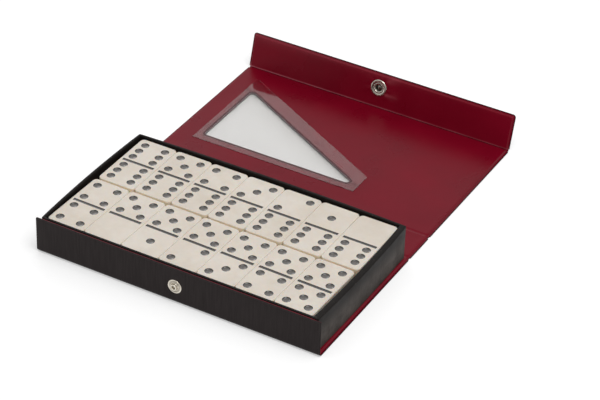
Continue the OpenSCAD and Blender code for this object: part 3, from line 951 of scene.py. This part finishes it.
def clear_pvc():
    material, tree, shader, at = new_material("clear_sheet", IOR=1.40)
    ripple = noise(tree, at, 90, 3, 0.5)
    haze = noise(tree, at, 1400, 3, 0.6)
    # Painted shade: along the line round the window the sheet is painted opaque dark red, partly the hot
    # tool's darkening and partly the shade between sheet and vinyl.
    weld = marked(tree, "welded")
    # Painted shadow: the sheet is tinted grey where its mesh marks it, along the slanted side.
    shadow_tinted = blend_colour(tree, marked(tree, "painted_shadow"), (0.87, 0.862, 0.852, 1), (0.66, 0.645, 0.63, 1))
    smooth = spread(tree, haze, 0.4, 0.75, 0.03, 0.09)
    link_up(
        tree, shader,
        Base_Color=blend_colour(tree, weld, shadow_tinted, (0.060, 0.006, 0.010, 1)),
        Transmission_Weight=spread(tree, weld, 0.3, 0.9, 1.0, 0.0),
        Roughness=node(tree, "ShaderNodeMix", {0: weld, 2: smooth, 3: 0.4}, data_type="FLOAT").outputs[0],
        Normal=raise_by(tree, ripple, 0.12, 0.5),
    )
    through = node(tree, "ShaderNodeBsdfTransparent", {"Color": (0.88, 0.88, 0.875, 1)})
    shadow = node(tree, "ShaderNodeLightPath").outputs["Is Shadow Ray"]
    both = node(tree, "ShaderNodeMixShader", {0: shadow, 1: shader.outputs[0], 2: through.outputs[0]})
    tree.links.new(both.outputs[0], tree.nodes["Material Output"].inputs["Surface"])
    return material


rise = SHEET_SLANT / math.cos(slant)


def slant_at(u):
    """Height of the clear sheet's slanted edge, at a distance along the case from the window's corner."""
    return WINDOW_H + rise - u * math.tan(slant)


clear_corners = [
    (WINDOW_X + u, WINDOW_Y + v)
    for u, v in (
        (-SHEET_SIDE, -SHEET_FOOT),
        (WINDOW_W, -SHEET_FOOT),
        (WINDOW_W, slant_at(WINDOW_W)),
        (TIP_CUT - SHEET_SIDE, slant_at(TIP_CUT - SHEET_SIDE)),
        (-SHEET_SIDE, slant_at(-SHEET_SIDE) - TIP_CUT),
    )
]


def drawn_in(corners, by):
    """A convex outline drawn in by a distance, with points along its sides."""
    sides = []
    for a, b in zip(corners, corners[1:] + corners[:1]):
        d = Vector((b[0] - a[0], b[1] - a[1])).normalized()
        sides.append((Vector(a) + Vector((-d.y, d.x)) * by, d))
    tips = []
    for (p, d), (q, f) in zip(sides[-1:] + sides[:-1], sides):
        t = ((q - p).x * f.y - (q - p).y * f.x) / (d.x * f.y - d.y * f.x)
        tips.append(p + d * t)
    line = []
    for a, b in zip(tips, tips[1:] + tips[:1]):
        parts = max(1, round((b - a).length / SPACING))
        line += [tuple(a.lerp(b, k / parts)) for k in range(parts)]
    return line


def clear_depth(x, s):
    """Distance inside the clear sheet's cut edges."""
    return min(
        ((x - a[0]) * (a[1] - b[1]) + (s - a[1]) * (b[0] - a[0])) / math.dist(a, b)
        for a, b in zip(clear_corners, clear_corners[1:] + clear_corners[:1])
    )


def clear_rise(x, s):
    """The sheet sags a little into the window."""
    return 0.03 - 0.12 * ease(from_window(x, s) / -12.0)


def clear_weld_and_shade(x, s):
    """1 on the line where the sheet is welded down round the window; there the sheet is painted opaque dark
    red, partly the tool's darkening and partly painted shade.
    """
    d = from_window(x, s)
    return ease((d + 0.12) / 0.12) * ease((LIP + 0.12 - d) / 0.12)


def clear_painted_shadow(x, s):
    """Painted shadow: the sheet is painted grey along the slanted side, most in the sharp corner, for the
    shadow on the table under it.
    """
    below = (WINDOW_H - (x - WINDOW_X) * math.tan(slant) - (s - WINDOW_Y)) * math.cos(slant)
    return 0.25 * ease(1 - below / 22) + 0.75 * ease(1 - below / 4.5) if below > 0 else 0.0


clear = cut_sheet(
    "window_clear_sheet", clear_pvc(), drawn_in(clear_corners, 0.0),
    [drawn_in(clear_corners, d) for d in (0.06, 0.15, 1.2)]
    + [window_line(d) for d in (-2.0, -0.12, 0.0, LIP, LIP + 0.12)],
    lambda x, s: TOP - 0.03 + clear_rise(x, s),
    lambda x, s: TOP + clear_rise(x, s) + CLEAR_T - 0.05 - 0.12 * ease(1 - clear_depth(x, s) / 0.15),
    flat, within=lambda x, s: clear_depth(x, s) > 0.5,
    marks={"painted_shadow": clear_painted_shadow, "welded": clear_weld_and_shade},
)
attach(clear, "lid")
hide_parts("window_sheet")

# --- Flap ---------------------------------------------------------------------------------------------
# The narrow closing panel, folded up from the lid's far end. Its free corners are rounded, and the
# red vinyl puckers round the snap's socket, where the rivet draws it in.
FLAP_REST = math.radians(75)
SOCKET_S = FLAP_FOLD + 14.2
flap_part = (-HALF_WIDTH, HALF_WIDTH, FLAP_FOLD + STRIP, FLAP_FOLD + FLAP_HEIGHT)
flap_board = board_between(FLAP_FOLD, FLAP_FOLD + FLAP_HEIGHT, BORDER)
SOCKET_SEAT, CAP_HOLE = 5.7, 1.4
FOLD_LOW = 3.6  # how far under the socket's middle the fold along the flap runs


def folded_up(x, s, n):
    y, z = s - FLAP_FOLD, n - FOLD_Z
    return (
        x,
        FLAP_FOLD + y * math.cos(FLAP_REST) - z * math.sin(FLAP_REST),
        FOLD_Z + y * math.sin(FLAP_REST) + z * math.cos(FLAP_REST),
    )


def flap_edge(x, s):
    return depth_in(x, s, (-HALF_WIDTH, HALF_WIDTH, FLAP_FOLD - 90, FLAP_FOLD + FLAP_HEIGHT), 2.0)


def raised_folds(x, s):
    """Two soft folds that the socket has pulled up: one towards the top, one along the flap."""
    v = s - SOCKET_S
    r, a = math.hypot(x, v), math.atan2(v, x)
    upward = bump((a - 0.68) / 0.22) * ease((r - 6) / 3) * ease((20 - r) / 7)
    along = bump((v + FOLD_LOW) / 1.2) * ease((x - 4) / 2) * ease((17 - x) / 9)
    return 0.7 * upward + along


def pucker(x, s):
    """The vinyl stands off the board in radial creases round the socket, and in the two folds."""
    a = math.atan2(s - SOCKET_S, x)
    near = bump((from_socket(x, s) - 7.0) / 3.6)
    creases = math.cos(9 * a + 0.6) + 0.6 * math.cos(14 * a + 2.0) + 0.4 * math.cos(5 * a)
    return near * (0.09 * creases + 0.22) * (1 - bump((a + 2.27) / 0.35)) + 0.35 * raised_folds(x, s)


def flap_paling_and_sheen(x, s):
    """Where the flap's red vinyl is painted paler: along its fold partly as stress whitening and partly as a
    painted highlight on the crease, and on the raised folds and in a soft band under its upper edge as
    painted sheen."""
    fold = bump((s - FLAP_FOLD - STRIP) / 0.5) + 0.6 * bump((s - FLAP_FOLD + STRIP) / 0.3)
    depth = FLAP_FOLD + FLAP_HEIGHT - s
    # Painted sheen: a soft pale band under the upper edge.
    painted_shading = (0.17 - x / 900) * math.exp(-depth / (1.7 - x / 160))
    painted_shading *= ease(depth / 0.9) * ease((7 - depth) / 2)
    return fold * (0.6 - x / 300 + 0.08 * math.sin(x / 4.1)) + painted_shading + 0.17 * raised_folds(x, s)


def from_socket(x, s):
    return math.hypot(x, s - SOCKET_S)


fold_strips("flap_fold", FLAP_FOLD, FLAP_REST, flap_paling_and_sheen)
panel(
    "flap", flap_part, flap_board, folded_up, flap_edge, free=(False, True), r=2.0,
    dent=lambda x, s: 0.1 * bump((from_socket(x, s) - 5.2) / 1.2),
    relief=pucker,
    black_lines=[ring(0, SOCKET_S, r) for r in (CAP_HOLE, 5.2, 6.0, 7.0, 8.4)],
    red_lines=[ring(0, SOCKET_S, r, 60) for r in (5.9, 6.2, 6.7, 7.3, 8.0, 8.8, 9.7, SOCKET_SEAT)]
    + [[(x, SOCKET_S - FOLD_LOW + v) for x in stations(5, 18, 1.5)] for v in (-1.2, -0.6, 0, 0.6, 1.2)],
    black_gap=lambda x, s: from_socket(x, s) < CAP_HOLE,
    red_gap=lambda x, s: from_socket(x, s) < SOCKET_SEAT,
    paled_and_sheen=flap_paling_and_sheen,
)

# --- Socket, spring and cap on the flap ---------------------------------------------------------------
# The upper half of the snap fastener: a pressed nickel socket with a rolled rim and a wire ring that
# grips the stud, held by a domed cap riveted through from the outside.


def on_flap(x, s, n):
    return folded_up(x, SOCKET_S + s, n)


socket_profile = [
    (0, 0.3), (5.3, 0.3), (5.58, 0.6), (5.62, 1.5), (5.6, 1.8), (5.46, 2.08), (5.2, 2.28), (4.9, 2.33),
    (4.5, 2.3), (4.1, 2.22), (3.8, 2.14), (3.5, 2.1), (3.3, 2.12), (3.14, 2.15),
    (2.98, 2.16), (2.78, 2.12), (2.6, 2.0), (2.5, 1.84), (2.54, 1.7), (2.72, 1.64), (2.74, 1.4),
    (2.7, 0.8), (2.55, 0.64), (1.6, 0.6), (1.2, 0.72), (0.9, 0.86), (0, 0.9),
]
# Painted shade: the socket is painted dark in its mouth and centre, the most round the hole that the stud
# enters.
socket = turned("socket", socket_profile, NICKEL, on_flap,
                lambda r, z: 0.95 * (1.3 < r < 2.73 and z < 1.75) + 0.65 * (r < 1.3))
CAP_HALF, CAP_HEIGHT = 5.2, 1.2
cap_r = (CAP_HALF ** 2 + CAP_HEIGHT ** 2) / (2 * CAP_HEIGHT)
cap_profile = (
    [(0, -CAP_HEIGHT)]
    + [(r, cap_r - CAP_HEIGHT - math.sqrt(cap_r ** 2 - r ** 2)) for r in (1, 2, 3, 4, 4.7, 5.05)]
    + [(5.17, -0.06), (5.19, 0.0), (5.1, 0.04), (4.9, 0.0), (1.35, 0.0), (1.3, 0.06)]
    + [(1.3, SHEET), (0, SHEET)]
)
cap = turned("cap", cap_profile, NICKEL, on_flap)
for piece, node_name in ((socket, "snap_socket"), (cap, "snap_cap")):
    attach(piece, "flap")
    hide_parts(node_name)


def spring_wire():
    material, tree, shader, at = new_material("spring_wire", Metallic=1.0)
    drawn = noise(tree, at, 5200, 3, 0.6)
    colour = blend_colour(tree, drawn, (0.30, 0.28, 0.25, 1), (0.46, 0.44, 0.40, 1))
    roughness = spread(tree, drawn, 0.3, 0.7, 0.28, 0.45)
    link_up(tree, shader, Base_Color=colour, Roughness=roughness, Normal=raise_by(tree, drawn, 0.004, 0.4))
    return material


refinish("socket_spring", spring_wire())

# --- Dominoes -----------------------------------------------------------------------------------------
# Twenty-eight cast ivory-coloured tiles with softened edges. Their dots and dividing lines are
# cut shallow and filled with dark grey paint. Two rows of seven lie on two more rows of seven.
TILE_W, TILE_L, TILE_T, TILE_R = 25.32, 50.0, 9.8, 2.8
TILE_GAP, ROW_GAP = 0.08, 1.5
FRONT_TURN, FRONT_SHIFT = math.radians(-1.1), -1.2
SOFT = 0.5  # how far a domino's edges are rounded over
LAYERS = [
    ["66 56 46 36 26 16 06".split(), "44 50 51 52 53 54 55".split()],
    ["00 01 02 03 04 11 12".split(), "13 14 22 23 24 33 34".split()],
]


def ivory():
    material, tree, shader, at = new_material(
        "ivory", Specular_IOR_Level=0.4, Subsurface_Weight=0.35, Subsurface_Scale=0.0022,
        Subsurface_Radius=(1.0, 0.6, 0.35),
    )
    clouds = noise(tree, at, 38, 4, 0.55)
    mottle = noise(tree, at, 190, 4, 0.6)
    polish = noise(tree, stretched(tree, at, (1, 0.12, 1)), 1500, 4, 0.7, 0.4)
    tone = shared(tree, clouds, mottle, 0.6)
    plain = ramp(tree, tone, 0.32, (0.60, 0.53, 0.448), 0.68, (0.685, 0.63, 0.562))
    specks = spread(tree, cells(tree, at, 420), 0.04, 0.09, 0.22, 0.0)
    specked = blend_colour(tree, specks, plain, (0.55, 0.44, 0.31, 1))
    # Painted light: the side faces, most of all the ends that face each other across the gap between rows,
    # are painted amber, for the glow that the ivory lets through and bounces between tiles.
    facing = node(tree, "ShaderNodeSeparateXYZ", {0: node(tree, "ShaderNodeNewGeometry").outputs["Normal"]})
    side = spread(tree, facing.outputs[2], 0.05, 0.4, 1.0, 0.0)
    end = math_node(tree, "ABSOLUTE", facing.outputs[1])
    painted_side_glow = math_node(tree, "MULTIPLY", side, spread(tree, end, 0.3, 0.9, 0.45, 0.65))
    side_glowed = blend_colour(tree, painted_side_glow, specked, (0.93, 0.79, 0.57, 1))
    roughness = spread(tree, polish, 0.3, 0.75, 0.32, 0.5)
    link_up(tree, shader, Base_Color=side_glowed, Roughness=roughness, Normal=raise_by(tree, mottle, 0.05, 0.25))
    return material


def dot_paint():
    """Dark grey paint, paler at the bottom of each dot than round its rim: partly thin paint and partly a
    painted reflection of the bright room in the dot's floor.
    """
    material, tree, shader, at = new_material("dot_paint", Specular_IOR_Level=0.8)
    thin = noise(tree, at, 1100, 4, 0.6)
    height = node(tree, "ShaderNodeSeparateXYZ", {0: at}).outputs[2]
    above_floor = math_node(tree, "SUBTRACT", height, (FLOOR_Z + 0.02) * MM)
    tiles_up = math_node(tree, "DIVIDE", above_floor, TILE_T * MM)
    bottom = spread(tree, math_node(tree, "FRACT", tiles_up), 0.975, 0.908, 0.0, 1.0)
    # Painted reflection, partly thin paint: paler towards the bottom of each dot, in patches.
    lightened = math_node(tree, "MULTIPLY", bottom, spread(tree, thin, 0.3, 0.65, 0.35, 1.0))
    colour = blend_colour(tree, lightened, (0.016, 0.013, 0.011, 1), (0.130, 0.117, 0.107, 1))
    roughness = spread(tree, thin, 0.3, 0.7, 0.08, 0.16)
    link_up(tree, shader, Base_Color=colour, Roughness=roughness, Normal=raise_by(tree, thin, 0.02, 0.4))
    return material


IVORY, PAINT = ivory(), dot_paint()


def blank_domino():
    """The plain tile, standing on z = 0, before its dots are cut."""
    quarter = [math.radians(a) for a in (0, 22.5, 45, 67.5, 90)]
    soft = [(SOFT * (1 - math.sin(a)), SOFT * (1 - math.cos(a))) for a in quarter]
    inner = SOFT + 0.35
    outline = [(inner, 0.0)] + soft + [(k, TILE_T - z) for k, z in reversed(soft)] + [(inner, TILE_T)]
    hx, hy = TILE_W / 2 - TILE_R, TILE_L / 2 - TILE_R
    rows = [
        [
            (x, y, z) for sx, sy, start in CORNERS
            for x, y in arc(sx * hx, sy * hy, TILE_R - k, start, range(0, 91, 10))
        ]
        for k, z in outline
    ]
    mesh = skin_through("blank_domino", rows)
    mesh.materials.append(IVORY)
    return mesh


# Where a half's dots can lie, in steps of column and row, and the lowest number that uses each. The
# first lies in the middle, and only odd numbers have it.
DOT_SPOTS = (
    ((0, 0, 0), 0), ((1, 1, 0), 2), ((-1, -1, 0), 2), ((-1, 1, 0), 4), ((1, -1, 0), 4),
    ((-1, 0, 0), 6), ((1, 0, 0), 6),
)


def dot_cutter():
    """Geometry Nodes that cut a domino's dots and dividing line into the blank tile."""
    tree = bpy.data.node_groups.new("domino_dots", "GeometryNodeTree")
    sizes = {
        "Top": TILE_T, "Dot radius": 2.6, "Dot depth": 0.95, "Dot column": 7.1, "Dot row": 7.0,
        "Half centre": 12.1, "Line length": 22.0, "Line width": 2.1, "Line depth": 0.4,
    }
    tree.interface.new_socket("Blank", in_out="INPUT", socket_type="NodeSocketGeometry")
    for name in ("Far half", "Near half"):
        tree.interface.new_socket(name, in_out="INPUT", socket_type="NodeSocketInt")
    for name, value in sizes.items():
        made = tree.interface.new_socket(name, in_out="INPUT", socket_type="NodeSocketFloat")
        made.default_value = value
    for name in ("Tile finish", "Dot finish"):
        tree.interface.new_socket(name, in_out="INPUT", socket_type="NodeSocketMaterial")
    tree.interface.new_socket("Domino", in_out="OUTPUT", socket_type="NodeSocketGeometry")
    given = node(tree, "NodeGroupInput").outputs
    index = node(tree, "GeometryNodeInputIndex").outputs[0]
    per_half = float(len(DOT_SPOTS))
    place = math_node(tree, "MODULO", index, per_half)
    side = math_node(tree, "FLOOR", math_node(tree, "DIVIDE", index, per_half))
    near = node(tree, "GeometryNodeSwitch", {0: side, 1: given["Far half"], 2: given["Near half"]},
                input_type="FLOAT").outputs[0]
    spots = node(tree, "GeometryNodeIndexSwitch", data_type="VECTOR")
    needs = node(tree, "GeometryNodeIndexSwitch", data_type="FLOAT")
    for k, (spot, least) in enumerate(DOT_SPOTS):
        for switch, value in ((spots, spot), (needs, least)):
            if k > 1:
                switch.index_switch_items.new()
            switch.inputs[k + 1].default_value = value
    for switch in (spots, needs):
        tree.links.new(place, switch.inputs[0])
    enough = math_node(tree, "GREATER_THAN", near, math_node(tree, "SUBTRACT", needs.outputs[0], 0.5))
    odd = math_node(tree, "GREATER_THAN", math_node(tree, "MODULO", near, 2.0), 0.5)
    outer = math_node(tree, "GREATER_THAN", place, 0.5)
    wanted = math_node(tree, "MULTIPLY", enough, math_node(tree, "MAXIMUM", odd, outer))
    step = node(tree, "ShaderNodeCombineXYZ", {0: given["Dot column"], 1: given["Dot row"]}).outputs[0]
    away = math_node(tree, "MULTIPLY", given["Half centre"],
                     math_node(tree, "SUBTRACT", 1.0, math_node(tree, "MULTIPLY", side, 2.0)))
    middle = node(tree, "ShaderNodeCombineXYZ", {1: away, 2: given["Top"]}).outputs[0]
    at = node(tree, "ShaderNodeVectorMath", {0: spots.outputs[0], 1: step, 2: middle},
              operation="MULTIPLY_ADD").outputs[0]
    points = node(tree, "GeometryNodePoints", {"Count": 2 * len(DOT_SPOTS), "Position": at}).outputs[0]
    ball = node(tree, "GeometryNodeMeshUVSphere", {"Segments": 36, "Rings": 16, "Radius": 1.0}).outputs[0]
    squash = node(tree, "ShaderNodeCombineXYZ",
                  {0: given["Dot radius"], 1: given["Dot radius"], 2: given["Dot depth"]}).outputs[0]
    dots = node(tree, "GeometryNodeInstanceOnPoints",
                {"Points": points, "Selection": wanted, "Instance": ball, "Scale": squash}).outputs[0]
    end_x = math_node(tree, "MULTIPLY", given["Line length"], 0.5)
    raised = node(tree, "ShaderNodeCombineXYZ", {2: given["Top"]}).outputs[0]
    ends = [
        node(tree, "ShaderNodeCombineXYZ",
             {0: math_node(tree, "MULTIPLY", end_x, sign)}).outputs[0]
        for sign in (-1.0, 1.0)
    ]
    line = node(tree, "GeometryNodeCurvePrimitiveLine", {"Start": ends[0], "End": ends[1]}).outputs[0]
    round_section = node(
        tree, "GeometryNodeCurvePrimitiveCircle", {"Resolution": 20, "Radius": 0.5}
    ).outputs[0]
    groove = node(tree, "GeometryNodeCurveToMesh",
                  {"Curve": line, "Profile Curve": round_section, "Fill Caps": True}).outputs[0]
    section_size = node(tree, "ShaderNodeCombineXYZ", {
        0: 1.0, 1: given["Line width"], 2: math_node(tree, "MULTIPLY", given["Line depth"], 2.0)
    }).outputs[0]
    groove = node(tree, "GeometryNodeTransform", {
        "Geometry": groove, "Scale": section_size, "Translation": raised
    }).outputs[0]
    cutters = node(tree, "GeometryNodeJoinGeometry")
    tree.links.new(node(tree, "GeometryNodeRealizeInstances", {0: dots}).outputs[0], cutters.inputs[0])
    tree.links.new(groove, cutters.inputs[0])
    painted = node(tree, "GeometryNodeSetMaterial",
                   {"Geometry": cutters.outputs[0], "Material": given["Dot finish"]}).outputs[0]
    cut = node(tree, "GeometryNodeMeshBoolean",
               {"Mesh 1": given["Blank"], "Mesh 2": painted}, operation="DIFFERENCE", solver="EXACT")
    whole = node(tree, "GeometryNodeRealizeInstances", {0: cut.outputs[0]}).outputs[0]
    is_paint = node(tree, "GeometryNodeMaterialSelection", {0: given["Dot finish"]}).outputs[0]
    plain = node(tree, "FunctionNodeBooleanMath", {0: is_paint}, operation="NOT").outputs[0]
    last = node(tree, "GeometryNodeSetMaterial",
                {"Geometry": whole, "Selection": plain, "Material": given["Tile finish"]}).outputs[0]
    node(tree, "NodeGroupOutput", {0: last})
    return tree, {item.name: item.identifier for item in tree.interface.items_tree}


blank = bpy.data.objects.new("blank_domino", blank_domino())
bpy.context.scene.collection.objects.link(blank)
dots, socket_of = dot_cutter()
for layer, rows in enumerate(LAYERS):
    for front, row in enumerate(rows):
        for column, (far, near) in enumerate(row):
            cutter = blank.modifiers.new("dots", "NODES")
            cutter.node_group = dots
            cutter[socket_of["Far half"]], cutter[socket_of["Near half"]] = int(far), int(near)
            cutter[socket_of["Tile finish"]], cutter[socket_of["Dot finish"]] = IVORY, PAINT
            graph = bpy.context.evaluated_depsgraph_get()
            mesh = bpy.data.meshes.new_from_object(blank.evaluated_get(graph), depsgraph=graph)
            blank.modifiers.remove(cutter)
            spot = Matrix.Translation((
                (column - 3) * (TILE_W + TILE_GAP) + (FRONT_SHIFT if front else 0),
                (-1 if front else 1) * (TILE_L + ROW_GAP) / 2,
                FLOOR_Z + (1 - layer) * TILE_T,
            )) @ Matrix.Rotation(FRONT_TURN if front else 0, 4, "Z")
            mesh.transform(spot)
            high, low = max(far, near), min(far, near)
            domino = finish_mesh(f"domino_{high}_{low}", mesh, [])
            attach(domino, f"tile_{high}_{low}")
            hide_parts(f"tile_{high}_{low}")
bpy.data.objects.remove(blank)

# --- Table and light ----------------------------------------------------------------------------------
# A plain white table that keeps the case's shadow, a white room that the metal and the vinyl mirror,
# a large soft lamp overhead, a little to the right and in front, and a weak one far back on the left.
floor_mesh = bpy.data.meshes.new("table")
TABLE_HALF, TABLE_Z = 4, -0.0002
table_corners = [
    (sx * TABLE_HALF, sy * TABLE_HALF, TABLE_Z) for sx, sy in ((-1, -1), (1, -1), (1, 1), (-1, 1))
]
floor_mesh.from_pydata(table_corners, [], [(0, 1, 2, 3)])
table = bpy.data.objects.new("table", floor_mesh)
bpy.context.scene.collection.objects.link(table)


def seen(tree):
    """1 for what the camera sees, straight or mirrored or through the clear sheet."""
    path = node(tree, "ShaderNodeLightPath").outputs
    mirrored = math_node(tree, "MAXIMUM", path["Is Glossy Ray"], path["Is Transmission Ray"])
    direct = math_node(tree, "LESS_THAN", path["Diffuse Depth"], 0.5)
    return math_node(tree, "MULTIPLY", math_node(tree, "MAXIMUM", path["Is Camera Ray"], mirrored), direct)


material = bpy.data.materials.new("table")
material.use_nodes = True
tree = material.node_tree
tree.nodes.clear()
white = node(tree, "ShaderNodeBsdfDiffuse", {"Color": (0.72, 0.72, 0.72, 1)})
through = node(tree, "ShaderNodeLightPath").outputs["Is Transmission Ray"]
fill = math_node(tree, "MULTIPLY", seen(tree), spread(tree, through, 0.0, 1.0, 0.36, 0.0))
lift = node(tree, "ShaderNodeEmission", {"Strength": fill})
total = node(tree, "ShaderNodeAddShader", {0: white.outputs[0], 1: lift.outputs[0]})
node(tree, "ShaderNodeOutputMaterial", {0: total.outputs[0]})
floor_mesh.materials.append(material)

world = bpy.data.worlds.new("room")
bpy.context.scene.world = world
world.use_nodes = True
tree = world.node_tree
tree.nodes.clear()
AMBIENT = 0.64
toward_wall = node(tree, "ShaderNodeVectorMath", {
    0: node(tree, "ShaderNodeTexCoord").outputs["Generated"], 1: (-0.35, 0.85, 0.38)
}, operation="DOT_PRODUCT").outputs["Value"]
mirrored = spread(tree, toward_wall, -0.7, 0.9, 0.42, 1.02)
glossy = node(tree, "ShaderNodeLightPath").outputs["Is Glossy Ray"]
plain = spread(tree, seen(tree), 0.0, 1.0, AMBIENT, 1.0)
strength = node(tree, "ShaderNodeMix", {0: glossy, 2: plain, 3: mirrored}, data_type="FLOAT").outputs[0]
sky = node(tree, "ShaderNodeBackground", {"Color": (1, 1, 1, 1), "Strength": strength})
node(tree, "ShaderNodeOutputWorld", {0: sky.outputs[0]})



def soft_light(name, width, depth, power, place, aim):
    """A rectangular light that hangs at a place and shines towards another."""
    light = bpy.data.objects.new(name, bpy.data.lights.new(name, "AREA"))
    light.data.shape, light.data.size, light.data.size_y = "RECTANGLE", width, depth
    light.data.energy = power
    light.location = place
    light.rotation_euler = (light.location - aim).to_track_quat("Z", "Y").to_euler()
    bpy.context.scene.collection.objects.link(light)


over_case = Vector((0, 0.06, 0))
overhead = over_case + Vector((0.40, -0.18, 1.0)).normalized() * 1.3
soft_light("soft_lamp", 0.9, 0.7, 7.2, overhead, over_case)
soft_light("white_card", 0.45, 0.5, 1.0, Vector((-0.82, 0.78, 0.50)), Vector((0, 0.1, 0)))

bpy.context.scene.view_settings.view_transform = "Standard"
